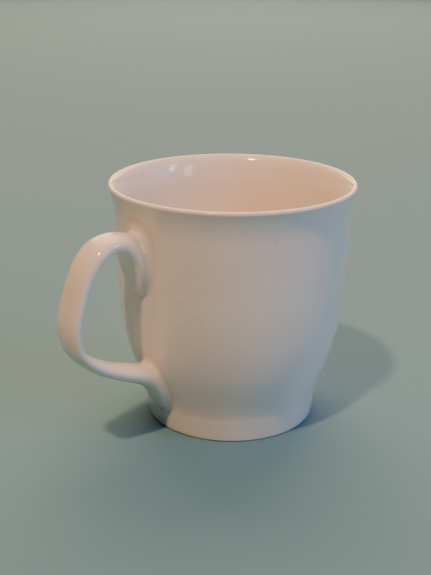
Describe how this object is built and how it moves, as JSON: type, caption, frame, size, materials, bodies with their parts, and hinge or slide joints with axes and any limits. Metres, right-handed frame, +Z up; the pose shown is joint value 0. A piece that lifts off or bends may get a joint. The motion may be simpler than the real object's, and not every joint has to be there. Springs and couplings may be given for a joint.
{
  "type": "mug",
  "caption": "Cream glazed china mug with a flared lip, a narrow foot and a strap handle on its side.",
  "frame": {"origin": "on the cup's axis at its resting plane, under the middle of the underside", "axes": "+Z up the cup's axis, towards the mouth; -X towards the handle"},
  "size_m": [0.1129, 0.086, 0.0857],
  "materials": {
    "cup_glaze": "glossy clear glaze over cream china",
    "handle_glaze": "glossy clear glaze over cream china",
    "slip": "fired slip under the same glossy glaze"
  },
  "bodies": {
    "root": {"cup_body": "cup_glaze", "handle": "handle_glaze", "upper_slip_joint": "slip", "lower_slip_joint": "slip"}
  },
  "joints": []
}
